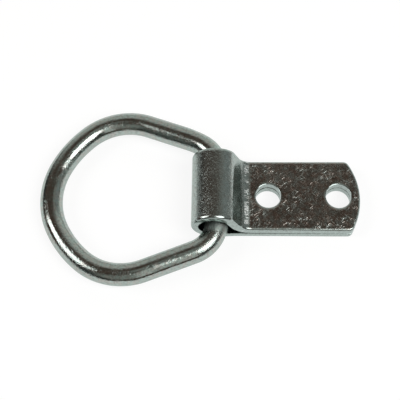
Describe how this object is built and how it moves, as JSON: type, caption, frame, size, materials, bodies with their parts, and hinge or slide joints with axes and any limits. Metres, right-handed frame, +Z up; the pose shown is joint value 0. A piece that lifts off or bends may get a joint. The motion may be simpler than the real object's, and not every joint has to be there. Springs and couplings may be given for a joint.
{
  "type": "lashing ring",
  "caption": "Round-bar D ring that swings in the rolled eye of a folded steel strap, which bolts to a floor, rail or wall.",
  "frame": {"origin": "on the strap's underside, midway between the two bolt holes", "axes": "+X from the ring to the strap's rounded end, +Y along the bar in the eye, +Z up, away from the surface that the strap is bolted to"},
  "size_m": [0.1135, 0.066, 0.018],
  "materials": {
    "strap_zinc": "bright zinc plating over rolled strip, faintly speckled and scuffed",
    "bar_zinc": "bright zinc plating over drawn bar, smooth and glossy"
  },
  "bodies": {
    "strap_body": {"folded_strap": "strap_zinc"},
    "ring_body": {"ring": "bar_zinc"}
  },
  "joints": [
    {"name": "ring_hinge", "type": "hinge", "parent": "strap_body", "child": "ring_body", "pos_m": [-0.03043, 0, 0.00776], "axis": [0, 1, 0], "continuous": true}
  ]
}
